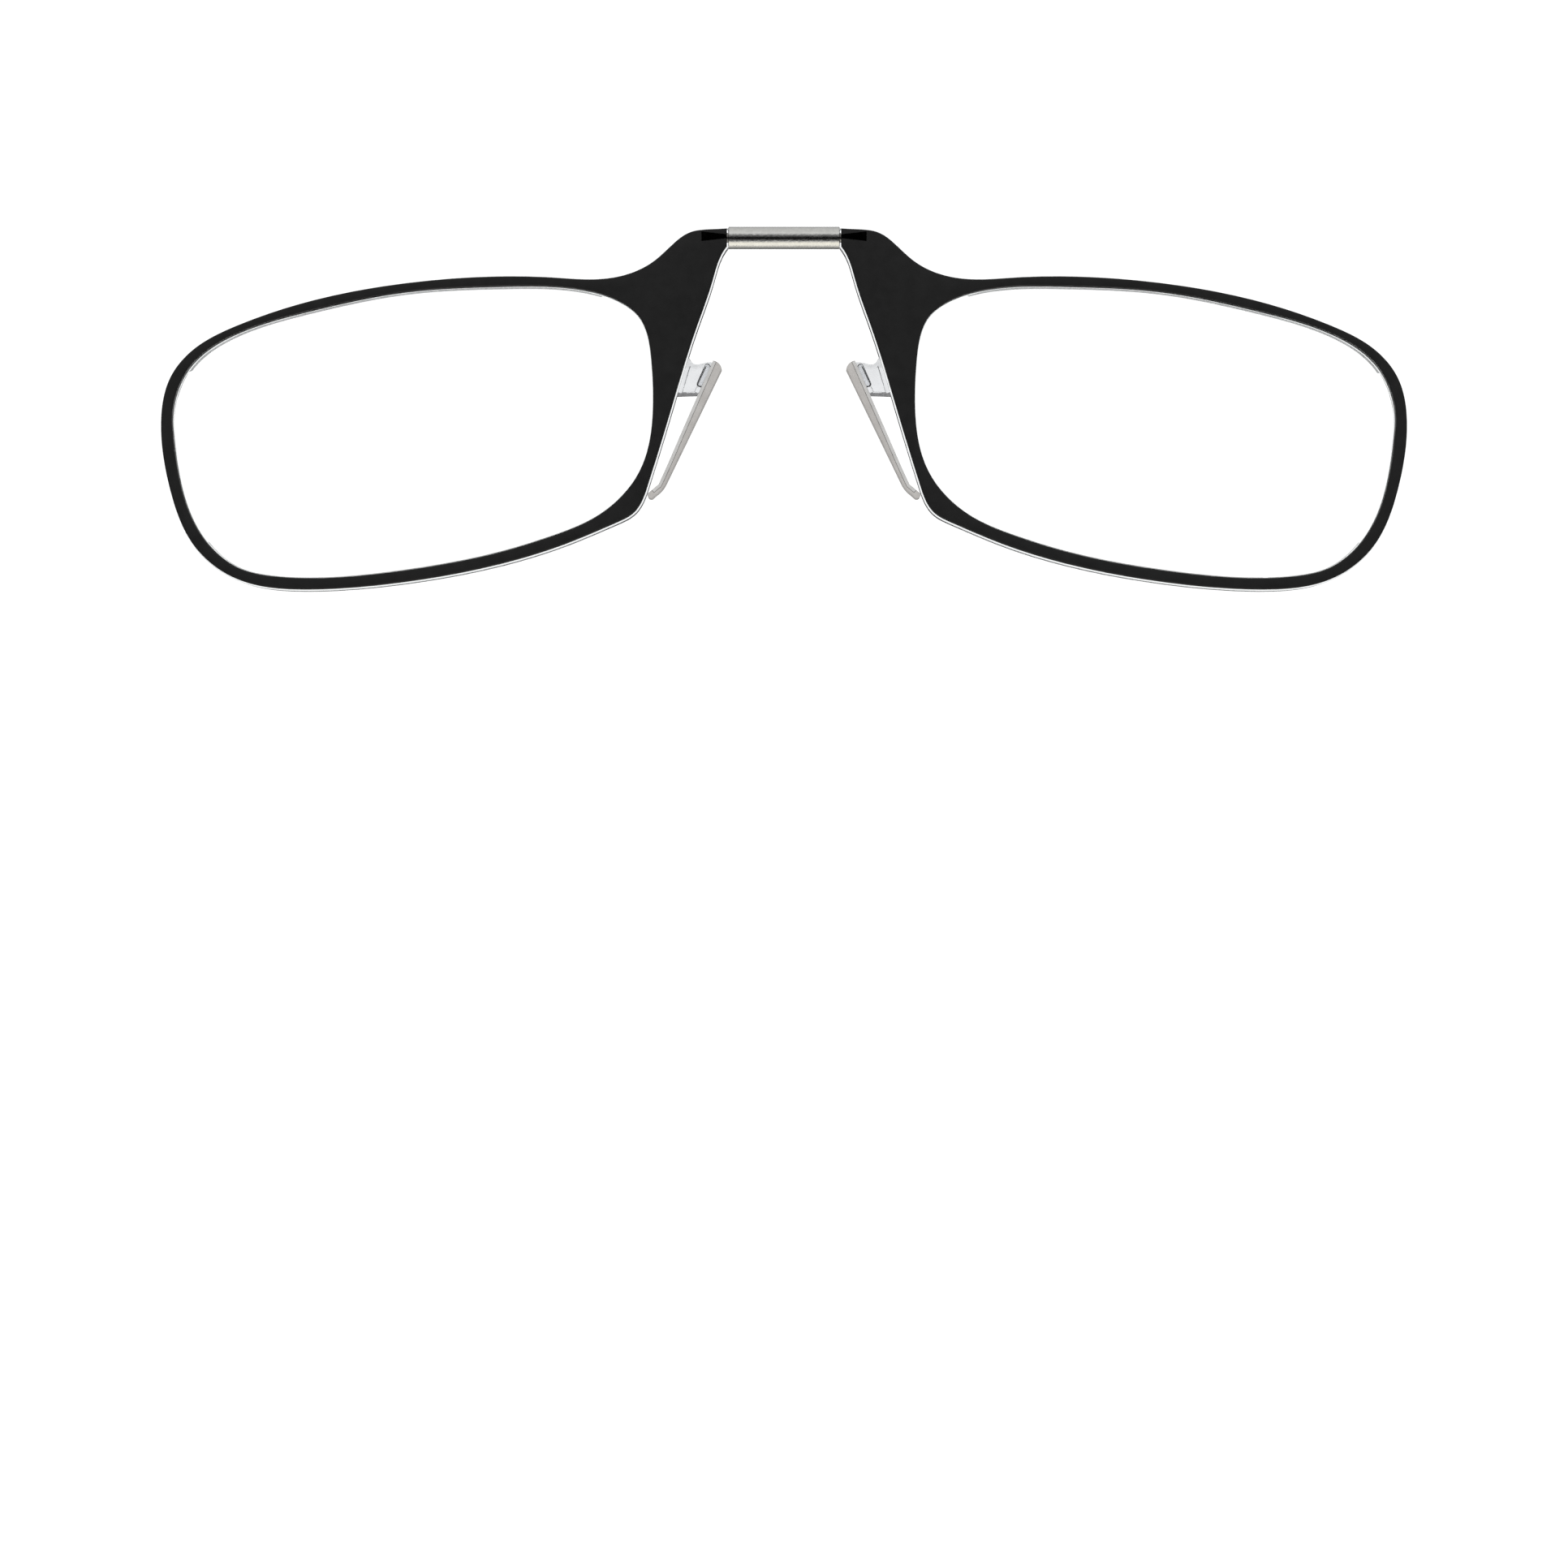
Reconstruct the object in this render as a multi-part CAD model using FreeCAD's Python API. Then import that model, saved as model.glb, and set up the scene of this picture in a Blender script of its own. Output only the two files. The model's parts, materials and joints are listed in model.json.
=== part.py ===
import FreeCAD, Part
import os

# Clip-on-the-nose reading glasses: two lens fronts joined by one springy bridge, with no side arms.
# Each front is a black facing on a clear lens frame, with the lens held between the two. A clear
# arm on each lens frame carries a stiff blade, and a soft silicone pad is moulded round the blade.
# +X is the wearer's left, -Y is the way the glasses face, and +Z is up. The origin lies midway
# between the two nose pads. All sizes are in millimetres. Outlines are (x, z) points of the
# wearer's left side, and the right side is its mirror image.

# Depths, front to back
FACING_FRONT = -1.0
FACING_BACK = -0.2
REBATE_BACK = 0.6
FRAME_BACK = 1.1
FACING_ROUND = 0.16

# Bridge
BRIDGE_Z = 17.5
BRIDGE_HALF = 5.15
SLEEVE_R = 1.02
SLEEVE_BORE_R = 0.65
SLEEVE_END_ROUND = 0.12
CORE_R = 0.45
CORE_HALF = 7.45

# Wire crimp at each end of the core, and the black plug that closes its pocket
CRIMP_START = 5.45
CRIMP_END = 7.6
CRIMP_HALF_HEIGHT = 0.52
CRIMP_FRONT = -0.5
CRIMP_BACK = 0.55
CORE_CLEARANCE = 0.02
PLUG_NECK_HALF = 0.17
PLUG_TAIL_HALF = 0.43

# Lens frame and lens
FRAME_PROUD = 0.13
LENS_FLANGE = 0.45
LENS_GAP = 0.04
LENS_CENTRE = (34.3, -0.6)
LENS_CURVE_R = 293.0
LENS_CROWN = -1.03

# Nose pads
PAD_FRONT = -0.9
PAD_BACK = 1.1
BLADE_THICKNESS = 0.32
ARM_FRONT = 0.1
ARM_BACK = 0.6
KNUCKLE_R = 0.34
KNUCKLE_TOP_Z = 5.75
KNUCKLE_LOW_Z = 3.2

# Outside of the black facing, from the top of its end face at the bridge: over the brow, round the
# cheek, along the bottom, round the lower corner and up the side that leans along the nose.
BRIDGE_END_X = 5.28
OUTSIDE = [
    (5.28, 18.25), (7.2, 18.15), (8.72, 17.87), (10.21, 16.83), (11.9, 15.3), (13.95, 14.18),
    (17.3, 13.55), (21.4, 13.72), (25.93, 13.82), (34.9, 13.19), (43.88, 11.49), (50.6, 9.22),
    (54.36, 7.17), (56.6, 4.5), (57.46, 0.4), (56.68, -5.61), (54.4, -11.02), (50.9, -13.9),
    (43.9, -15.04), (34.9, -14.33), (25.93, -12.62), (19.94, -10.74), (15.4, -8.83), (13.9, -7.98),
    (13.1, -6.85), (12.6, -5.5), (10.34, 1.87), (8.01, 9.35), (6.65, 13.3), (5.75, 15.95),
    (5.28, 16.7),
]

# Lens opening, clockwise from its outer end
OPENING = [
    (56.42, 0.0), (55.85, -4.46), (53.6, -10.25), (50.0, -13.2), (47.6, -13.77), (43.88, -14.01),
    (34.9, -13.28), (25.93, -11.54), (21.4, -10.13), (16.95, -8.1), (13.32, -4.12), (12.08, 2.6),
    (12.25, 6.2), (13.5, 10.25), (14.9, 11.35), (18.44, 12.56), (25.93, 12.92), (34.9, 12.4),
    (43.88, 10.62), (50.4, 8.6), (55.0, 5.22),
]

# Nose pad, seen edge on: a straight bar that leans along the nose, with a turned-out foot
PAD_HEAD = [(6.55, 6.05), (6.08, 5.86), (5.76, 5.34)]
PAD_INNER_LOW = (10.84, -5.14)
PAD_FOOT_BEND = [PAD_INNER_LOW, (11.18, -5.71), (11.78, -6.28)]
PAD_FOOT_TIP = [(12.05, -6.52), (12.5, -6.56), (12.42, -6.08)]
PAD_OUTER_LOW = (11.56, -5.31)
BLADE_FOOT_END = (12.2, -5.88)

# Clear arm between the lens frame and the pad
ARM_TOP = [(10.0, 7.2), (8.76, 6.4), (8.36, 5.9), (7.46, 5.95), (6.6, 6.0)]
ARM_LOW = [(8.05, 2.92), (10.9, 2.84)]


def vector(x, z, y=0.0):
    return FreeCAD.Vector(x, y, z)


def curve_through(points, closed=False):
    curve = Part.BSplineCurve()
    curve.interpolate([vector(x, z) for x, z in points], PeriodicFlag=closed)
    return curve


def spline(points, closed=False):
    return curve_through(points, closed).toShape()


def grown(points, distance, closed=False):
    """The points of a clockwise outline, moved outward square to the curve through them."""
    curve = curve_through(points, closed)
    moved = []
    for x, z in points:
        travel = curve.tangent(curve.parameter(vector(x, z)))[0]
        moved.append((x - travel.z * distance, z + travel.x * distance))
    return moved


def arc(points):
    return Part.Arc(*[vector(x, z) for x, z in points]).toShape()


def line(start, end):
    return Part.makeLine(vector(*start), vector(*end))


def plate(wire, front, back):
    """Solid of a flat outline between two depths."""
    face = Part.Face(wire)
    face.translate(FreeCAD.Vector(0, front, 0))
    return face.extrude(FreeCAD.Vector(0, back - front, 0))


def rod(radius, start_x, end_x):
    """Round bar along X on the bridge's axis."""
    return Part.makeCylinder(radius, end_x - start_x, vector(start_x, BRIDGE_Z), FreeCAD.Vector(1, 0, 0))


def facing_outline():
    return Part.Wire([spline(OUTSIDE), line(OUTSIDE[-1], OUTSIDE[0])])


def frame_outline():
    """The facing's outline grown all round, with its end face against the bridge's sleeve."""
    points = grown(OUTSIDE, FRAME_PROUD)
    top = (BRIDGE_HALF, points[0][1])
    low = (BRIDGE_HALF, points[-1][1])
    points = [top] + points[1:-1] + [low]
    return Part.Wire([spline(points), line(low, top)])


def opening_outline(growth=0.0):
    return Part.Wire([spline(grown(OPENING, growth, closed=True), closed=True)])


def edges_at_depth(shape, depth):
    flat = []
    for edge in shape.Edges:
        box = edge.BoundBox
        if abs(box.YMin - depth) < 1e-3 and abs(box.YMax - depth) < 1e-3:
            flat.append(edge)
    return flat


def crimp_block():
    height = 2 * CRIMP_HALF_HEIGHT
    corner = vector(CRIMP_START, BRIDGE_Z - CRIMP_HALF_HEIGHT, CRIMP_FRONT)
    return Part.makeBox(CRIMP_END - CRIMP_START, CRIMP_BACK - CRIMP_FRONT, height, corner)


def wire_crimp():
    hole = rod(CORE_R + CORE_CLEARANCE, CRIMP_START - 1, CRIMP_END + 1)
    return crimp_block().cut(hole)


def plug():
    """Fishtail plug, flush with the facing: narrow at the bridge and wide at its tail."""
    corners = [
        (BRIDGE_END_X, BRIDGE_Z + PLUG_NECK_HALF),
        (CRIMP_END, BRIDGE_Z + PLUG_TAIL_HALF),
        (CRIMP_END, BRIDGE_Z - PLUG_TAIL_HALF),
        (BRIDGE_END_X, BRIDGE_Z - PLUG_NECK_HALF),
    ]
    outline = Part.makePolygon([vector(x, z) for x, z in corners + corners[:1]])
    return plate(outline, FACING_FRONT, CRIMP_FRONT)


def core_passage():
    return rod(CORE_R + CORE_CLEARANCE, BRIDGE_HALF - 1, CRIMP_START)


def front_rim():
    blank = plate(facing_outline(), FACING_FRONT, FACING_BACK)
    rim = blank.cut(plate(opening_outline(), FACING_FRONT - 1, FACING_BACK + 1))
    rim = rim.makeFillet(FACING_ROUND, edges_at_depth(rim, FACING_FRONT))
    return rim.cut(plug()).cut(crimp_block()).cut(core_passage())


def lens_frame():
    blank = plate(frame_outline(), FACING_BACK, FRAME_BACK)
    rebate = plate(opening_outline(LENS_FLANGE), FACING_BACK - 1, REBATE_BACK)
    opening = plate(opening_outline(), FACING_BACK - 1, FRAME_BACK + 1)
    return blank.cut(rebate).cut(opening).cut(crimp_block()).cut(core_passage())


def lens():
    """Plano-convex lens: the crown fills the opening, and the thin flange sits in the rebate."""
    flange = plate(opening_outline(LENS_FLANGE - LENS_GAP), FACING_BACK, REBATE_BACK)
    crown = plate(opening_outline(-LENS_GAP), FACING_FRONT - 1, REBATE_BACK)
    ball = Part.makeSphere(LENS_CURVE_R, vector(*LENS_CENTRE, LENS_CROWN + LENS_CURVE_R))
    return flange.fuse(crown.common(ball)).removeSplitter()


def outer_face_x(z):
    """Where the pad's frame-side face lies at height z."""
    top_x, top_z = PAD_HEAD[0]
    low_x, low_z = PAD_OUTER_LOW
    return top_x + (low_x - top_x) * (top_z - z) / (top_z - low_z)


def pad_outline():
    edges = [
        arc(PAD_HEAD),
        line(PAD_HEAD[-1], PAD_INNER_LOW),
        arc(PAD_FOOT_BEND),
        line(PAD_FOOT_BEND[-1], PAD_FOOT_TIP[0]),
        arc(PAD_FOOT_TIP),
        line(PAD_FOOT_TIP[-1], PAD_OUTER_LOW),
        line(PAD_OUTER_LOW, PAD_HEAD[0]),
    ]
    return Part.Wire(edges)


def pad_lean():
    """Direction along the bar, from its foot to its head, and the direction out of its frame side."""
    along = vector(*PAD_HEAD[0]) - vector(*PAD_OUTER_LOW)
    along.normalize()
    return along, FreeCAD.Vector(along.z, 0, -along.x)


def pad_blade():
    """Clear strip along the pad's whole frame side and down its foot, as deep as the pad."""
    top, bend, end = [vector(*point) for point in (PAD_HEAD[0], PAD_OUTER_LOW, BLADE_FOOT_END)]
    along, outward = pad_lean()
    foot = end - bend
    foot.normalize()
    foot_outward = FreeCAD.Vector(-foot.z, 0, foot.x)
    corner = outward + foot_outward
    corner_inset = corner * (-2 * BLADE_THICKNESS / corner.dot(corner))
    inner = [end - foot_outward * BLADE_THICKNESS, bend + corner_inset, top - outward * BLADE_THICKNESS]
    strip = plate(Part.makePolygon([top, bend, end] + inner + [top]), PAD_FRONT, PAD_BACK)
    return strip.common(plate(pad_outline(), PAD_FRONT, PAD_BACK))


def nose_pad():
    """Soft bar moulded on the blade's nose side and round the tip of its foot."""
    return plate(pad_outline(), PAD_FRONT, PAD_BACK).cut(pad_blade())


def pad_arm():
    """Thin web from the lens frame to the pad, thickened to a knuckle where it meets the blade."""
    edges = [
        spline(ARM_TOP),
        line(ARM_TOP[-1], ARM_LOW[0]),
        line(ARM_LOW[0], ARM_LOW[1]),
        line(ARM_LOW[1], ARM_TOP[0]),
    ]
    web = plate(Part.Wire(edges), ARM_FRONT, ARM_BACK)
    along, outward = pad_lean()
    length = (KNUCKLE_TOP_Z - KNUCKLE_LOW_Z) / along.z
    foot = vector(outer_face_x(KNUCKLE_LOW_Z), KNUCKLE_LOW_Z, (ARM_FRONT + ARM_BACK) / 2)
    knuckle = Part.makeCylinder(KNUCKLE_R, length, foot + outward * KNUCKLE_R, along)
    bar = plate(pad_outline(), PAD_FRONT, PAD_BACK)
    frame = plate(frame_outline(), FACING_BACK, FRAME_BACK)
    return web.fuse(knuckle).cut(bar).cut(frame).removeSplitter()


def bridge_sleeve():
    tube = rod(SLEEVE_R, -BRIDGE_HALF, BRIDGE_HALF).cut(rod(SLEEVE_BORE_R, -BRIDGE_HALF, BRIDGE_HALF))
    rims = [e for e in tube.Edges if e.Closed and e.Curve.Radius == SLEEVE_R]
    return tube.makeFillet(SLEEVE_END_ROUND, rims)


def bridge_core():
    return rod(CORE_R, -CORE_HALF, CORE_HALF)


def write(name, shape):
    shape.exportStep(os.path.join("parts", name + ".step"))
    print(f"{name}: {len(shape.Solids)} solid, {shape.Volume:.2f} mm3, valid {shape.isValid()}")


SIDE_PARTS = {
    "front_rim": front_rim,
    "lens_frame": lens_frame,
    "lens": lens,
    "wire_crimp": wire_crimp,
    "crimp_plug": plug,
    "pad_arm": pad_arm,
    "pad_blade": pad_blade,
    "nose_pad": nose_pad,
}

os.makedirs("parts", exist_ok=True)
write("bridge_sleeve", bridge_sleeve())
write("bridge_core", bridge_core())
for part_name, make in SIDE_PARTS.items():
    left = make()
    write("left_" + part_name, left)
    write("right_" + part_name, left.mirror(FreeCAD.Vector(0, 0, 0), FreeCAD.Vector(1, 0, 0)))
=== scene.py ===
import json
import math

import bmesh
import bpy
import numpy as np
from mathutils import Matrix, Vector, geometry


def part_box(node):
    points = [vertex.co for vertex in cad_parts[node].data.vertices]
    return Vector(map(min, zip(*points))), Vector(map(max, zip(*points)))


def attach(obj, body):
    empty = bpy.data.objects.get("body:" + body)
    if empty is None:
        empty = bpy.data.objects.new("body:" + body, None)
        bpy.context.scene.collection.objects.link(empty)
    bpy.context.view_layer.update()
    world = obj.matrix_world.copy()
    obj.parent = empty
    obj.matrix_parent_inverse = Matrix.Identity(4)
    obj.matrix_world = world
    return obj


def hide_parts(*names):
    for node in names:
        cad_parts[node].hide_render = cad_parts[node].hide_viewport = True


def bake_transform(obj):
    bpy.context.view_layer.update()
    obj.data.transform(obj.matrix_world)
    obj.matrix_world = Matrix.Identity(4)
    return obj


# Reading glasses with no side arms, seen from the front. Lengths in this script are millimetres
# until a mesh is made. Sides are the wearer's: the left one is at +X.
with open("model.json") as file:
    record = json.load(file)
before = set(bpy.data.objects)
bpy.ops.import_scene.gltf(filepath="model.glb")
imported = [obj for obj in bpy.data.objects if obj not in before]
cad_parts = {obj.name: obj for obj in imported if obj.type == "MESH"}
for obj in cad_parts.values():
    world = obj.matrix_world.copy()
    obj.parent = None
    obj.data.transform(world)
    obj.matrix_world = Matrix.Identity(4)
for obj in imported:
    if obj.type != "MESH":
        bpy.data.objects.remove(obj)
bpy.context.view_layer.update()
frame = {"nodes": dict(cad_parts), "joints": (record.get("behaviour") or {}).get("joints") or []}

MM = 0.001
SIDES = {"left": 1, "right": -1}
JOINTS = {j["name"]: j for j in frame["joints"]}

# Camera: level, well below the glasses, so that they sit in the upper half of a square picture
VIEW_WIDTH = 144.55
VIEW_DISTANCE = 300.0
VIEW_HEIGHT = -33.0
SENSOR = 36.0
FLOOR_DROP = 450.0

# Shapes
POINT_SPACING = 0.22
CORNER_DEGREES = 40.0
FACING_ROUND = 0.14
FRAME_ROUND = 0.1
LENS_LIP = 0.1
LENS_FLANGE = 0.41
LENS_GAP = 0.04
LENS_RADIUS = 293.0
HAIRLINE = 0.01
COIL_PITCH = 0.26
COIL_GROOVE = 0.010
COIL_STEPS = 8
SHARP_DEGREES = 35
MITRE_LIMIT = 0.35
PLUG_CLEARANCE = 0.015
PLUG_SINK = 0.03
CRIMP_CLEARANCE = 0.01
CRIMP_SQUARENESS = 0.35
PINCH_PLACES = (-0.35, 0.35)
PINCH_WIDTH = 0.13
PINCH_DEPTH = 0.16
BORE_CLEARANCE = 0.2
ARM_HALF_DEPTH = 0.25
ARM_WINDOW = 0.34
ARM_TOP_HEIGHT = 5.5
KNUCKLE_RADIUS = 0.3
KNUCKLE_LENGTH = 2.3

# Materials of a clear piece, in the order of its slots: the plastic, then the paler and the darker painted
# shade of its edges
EDGE_SLOT = 1
DARK_EDGE_SLOT = 2

# Light and room
SUN_STRENGTH = 0.5
SUN_SPREAD_DEGREES = 80
SUN_TILT_DEGREES = 25
FLOOR_HALF_METRES = 20.0
AMBIENT = 1.1


# ---------------------------------------------------------------- sizes from the frame


def box(node):
    low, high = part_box(node)
    return np.array(low) / MM, np.array(high) / MM


def joint_point(name):
    return np.array(JOINTS[name]["pos_m"]) / MM


def section(node, depth):
    """Closed (x, z) loops where the plane at this depth cuts a CAD node, the longest first."""
    cut = bmesh.new()
    cut.from_mesh(frame["nodes"][node].data)
    bmesh.ops.remove_doubles(cut, verts=cut.verts, dist=1e-7)
    everything = cut.verts[:] + cut.edges[:] + cut.faces[:]
    plane = {"plane_co": (0, depth * MM, 0), "plane_no": (0, 1, 0)}
    bmesh.ops.bisect_plane(cut, geom=everything, clear_inner=True, clear_outer=True, **plane)
    loops = []
    unused = dict.fromkeys(cut.verts)
    while unused:
        vert = next(iter(unused))
        del unused[vert]
        loop = [vert]
        while True:
            near = [e.other_vert(vert) for e in vert.link_edges]
            onward = [v for v in near if v in unused]
            if not onward:
                break
            vert = onward[0]
            del unused[vert]
            loop.append(vert)
        loops.append(settled(np.array([(v.co.x, v.co.z) for v in loop]) / MM))
    cut.free()
    return sorted(loops, key=perimeter, reverse=True)


def perimeter(loop):
    return np.linalg.norm(np.roll(loop, -1, axis=0) - loop, axis=1).sum()


# ---------------------------------------------------------------- outlines


def signed_area(loop):
    x, z = loop[:, 0], loop[:, 1]
    return (x * np.roll(z, -1) - np.roll(x, -1) * z).sum() / 2


def turned(loop, anticlockwise):
    return loop if (signed_area(loop) > 0) == anticlockwise else loop[::-1]


def settled(loop):
    """The loop taken anticlockwise from its leftmost point, so that every run gives the same one."""
    loop = turned(loop, True)
    leftmost = np.lexsort((loop[:, 1], loop[:, 0]))[0]
    return np.roll(loop, -leftmost, axis=0)


def corner_indices(loop):
    before = loop - np.roll(loop, 1, axis=0)
    after = np.roll(loop, -1, axis=0) - loop
    cross = before[:, 0] * after[:, 1] - before[:, 1] * after[:, 0]
    turn = np.degrees(np.abs(np.arctan2(cross, (before * after).sum(axis=1))))
    return list(np.nonzero(turn > CORNER_DEGREES)[0])


def smooth_run(points, count):
    """Evenly spaced points on a smooth curve through an open run of points, without its last one."""
    padded = np.vstack([2 * points[0] - points[1], points, 2 * points[-1] - points[-2]])
    lengths = np.linalg.norm(np.diff(points, axis=0), axis=1)
    distance = np.concatenate([[0], np.cumsum(lengths)])
    wanted = np.linspace(0, distance[-1], count + 1)[:-1]
    spans = np.clip(np.searchsorted(distance, wanted, side="right") - 1, 0, len(lengths) - 1)
    t = ((wanted - distance[spans]) / lengths[spans])[:, None]
    a, b, c, d = (padded[spans + k] for k in range(4))
    gap = lengths[spans][:, None]
    gap_before = np.maximum(np.linalg.norm(b - a, axis=1), 1e-9)[:, None]
    gap_after = np.maximum(np.linalg.norm(d - c, axis=1), 1e-9)[:, None]
    slope_b = gap * (c - a) / (gap + gap_before)
    slope_c = gap * (d - b) / (gap + gap_after)
    h1, h2 = 2 * t**3 - 3 * t**2 + 1, t**3 - 2 * t**2 + t
    h3, h4 = 3 * t**2 - 2 * t**3, t**3 - t**2
    return h1 * b + h2 * slope_b + h3 * c + h4 * slope_c


def resampled(loop, spacing=POINT_SPACING):
    """The loop with evenly spaced points between its corners."""
    keep = np.linalg.norm(loop - np.roll(loop, 1, axis=0), axis=1) > 1e-4
    loop = loop[keep]
    corners = corner_indices(loop)
    if not corners:
        # The run laps itself at both ends, so that the curve closes smoothly, and is then cut back
        loop = np.vstack([loop[-3:], loop, loop[:4]])
        full = smooth_run(loop, max(12, int(perimeter(loop) / spacing * 4)))
        start, end = loop[3], loop[-4]
        first = np.argmin(np.linalg.norm(full[: len(full) // 4] - start, axis=1))
        tail = len(full) * 3 // 4
        last = tail + np.argmin(np.linalg.norm(full[tail:] - end, axis=1))
        return full[first:last:4]
    loop = np.roll(loop, -corners[0], axis=0)
    ends = [c - corners[0] for c in corners] + [len(loop)]
    closed = np.vstack([loop, loop[:1]])
    runs = []
    for start, end in zip(ends, ends[1:]):
        run = closed[start : end + 1]
        length = np.linalg.norm(np.diff(run, axis=0), axis=1).sum()
        runs.append(smooth_run(run, max(1, int(round(length / spacing)))))
    return np.vstack(runs)


def inset(loop, distance):
    """The loop moved sideways, to the left of its direction. At a sharp corner the points past the
    place where the two moved sides meet all move to that place."""
    after = np.roll(loop, -1, axis=0) - loop
    after /= np.linalg.norm(after, axis=1)[:, None]
    before = np.roll(after, 1, axis=0)
    left_after = np.stack([-after[:, 1], after[:, 0]], axis=1)
    left_before = np.stack([-before[:, 1], before[:, 0]], axis=1)
    share = np.maximum(1 + (left_after * left_before).sum(axis=1), MITRE_LIMIT)[:, None]
    moved = loop + distance * (left_after + left_before) / share
    turn = before[:, 0] * after[:, 1] - before[:, 1] * after[:, 0]
    for corner in corner_indices(loop):
        if turn[corner] * distance > 0:
            shift_back, shift_on = distance * left_before[corner], distance * left_after[corner]
            trim_corner(moved, loop, corner, shift_back, shift_on)
    return moved


def trim_corner(moved, loop, corner, shift_back, shift_on, reach=12):
    """Ends the two moved sides of a corner where they cross."""
    count = len(loop)
    reach = min(reach, count // 3)
    back = [loop[corner] + shift_back] + [moved[(corner - k) % count] for k in range(1, reach)]
    on = [loop[corner] + shift_on] + [moved[(corner + k) % count] for k in range(1, reach)]
    for total in range(2 * reach - 3):
        for i in range(max(0, total - reach + 2), min(total, reach - 2) + 1):
            meeting = crossing(back[i], back[i + 1], on[total - i], on[total - i + 1])
            if meeting is None:
                continue
            for k in range(-i, total - i + 1):
                moved[(corner + k) % count] = meeting
            return


def crossing(a, b, c, d):
    """Where segment ab crosses segment cd, or None."""
    ab, cd, ac = b - a, d - c, c - a
    area = ab[0] * cd[1] - ab[1] * cd[0]
    if abs(area) < 1e-12:
        return None
    t = (ac[0] * cd[1] - ac[1] * cd[0]) / area
    u = (ac[0] * ab[1] - ac[1] * ab[0]) / area
    return a + t * ab if 0 <= t <= 1 and 0 <= u <= 1 else None


def inside(points, loops):
    """Which points lie in the area between the loops, by counting crossings."""
    hits = np.zeros(len(points), int)
    x, z = points[:, :1], points[:, 1:]
    for loop in loops:
        x0, z0 = loop[:, 0], loop[:, 1]
        x1, z1 = np.roll(x0, -1), np.roll(z0, -1)
        spans = (z0 <= z) != (z1 <= z)
        slope = (x1 - x0) / np.where(z1 == z0, 1e-12, z1 - z0)
        hits += (spans & (x < x0 + (z - z0) * slope)).sum(axis=1)
    return hits % 2 == 1


# ---------------------------------------------------------------- meshes


def rounded(depth, radius, towards, steps=5):
    """(depth, inset) pairs of a quarter round that starts on a flat face and ends on a wall."""
    angles = np.linspace(0, math.pi / 2, steps + 1)
    return [(depth + towards * radius * (1 - math.cos(a)), radius * (1 - math.sin(a))) for a in angles]


def wall(front, back, front_round, back_round):
    """Side profile of a plate: rounded front edge, straight wall, rounded back edge."""
    return rounded(front, front_round, 1) + rounded(back, back_round, -1)[::-1]


def ring_of(mesh, points, depths):
    """Vertices round a loop, one for each point. Neighbours that coincide share a vertex."""
    ring = []
    for (x, z), y in zip(points, depths):
        place = Vector((x, y, z)) * MM
        near = [v for v in ring[-1:] + ring[:1] if (v.co - place).length < 1e-8]
        ring.append(near[0] if near else mesh.verts.new(place))
    return ring


def join_rings(mesh, one, two, finish=0):
    for i in range(len(one)):
        j = (i + 1) % len(one)
        corners = list(dict.fromkeys([one[i], one[j], two[j], two[i]]))
        if len(corners) > 2:
            mesh.faces.new(corners).material_index = finish


def fill(mesh, rings, extra=(), depth=None):
    """Triangles over the area between rings of vertices. Extra points are added inside it."""
    rings = [list(dict.fromkeys(ring)) for ring in rings]
    loops = [np.array([(v.co.x, v.co.z) for v in ring]) / MM for ring in rings]
    corners = [v for ring in rings for v in ring]
    for x, z in extra:
        corners.append(mesh.verts.new(Vector((x, depth(x, z), z)) * MM))
    edges = []
    start = 0
    for ring in rings:
        edges += [(start + i, start + (i + 1) % len(ring)) for i in range(len(ring))]
        start += len(ring)
    points = [Vector((v.co.x, v.co.z)) / MM for v in corners]
    made, _, faces, source, _, _ = geometry.delaunay_2d_cdt(points, edges, [], 0, 1e-7)
    if len(made) != len(points):
        raise ValueError("rings cross, so they can't be filled")
    centres = np.array([np.mean([made[i] for i in face], axis=0) for face in faces])
    for face, kept in zip(faces, inside(centres, loops)):
        if kept:
            mesh.faces.new([corners[source[i][0]] for i in face])


def grid_points(loop, spacing, margin):
    """Points of a triangular grid inside a loop, clear of its edge."""
    low, high = loop.min(axis=0), loop.max(axis=0)
    points = []
    for row, z in enumerate(np.arange(low[1], high[1], spacing * 0.87)):
        shift = spacing / 2 if row % 2 else 0
        points += [(x + shift, z) for x in np.arange(low[0], high[0], spacing)]
    points = np.array(points)
    inner = inset(turned(loop, True), margin)
    return points[inside(points, [inner])]


def solid(mesh, loops, crown=None, grid=None):
    """Adds a closed solid to a mesh. Each loop has a profile of (depth, inset) pairs from the front
    face to the back one, and a depth of None lies on the crown, a function of x and z. A loop may
    also have finishes, which say where in its profile each further material starts."""
    fronts, backs = [], []
    for loop, profile, *finishes in loops:
        starts = finishes[0] if finishes else []
        rings = []
        for depth, distance in profile:
            points = inset(loop, distance)
            depths = [crown(x, z) if depth is None else depth for x, z in points]
            rings.append(ring_of(mesh, points, depths))
        for band, (one, two) in enumerate(zip(rings, rings[1:])):
            join_rings(mesh, one, two, sum(band >= start for start in starts))
        fronts.append(rings[0])
        backs.append(rings[-1])
    fill(mesh, fronts, () if grid is None else grid, crown)
    fill(mesh, backs)


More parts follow.
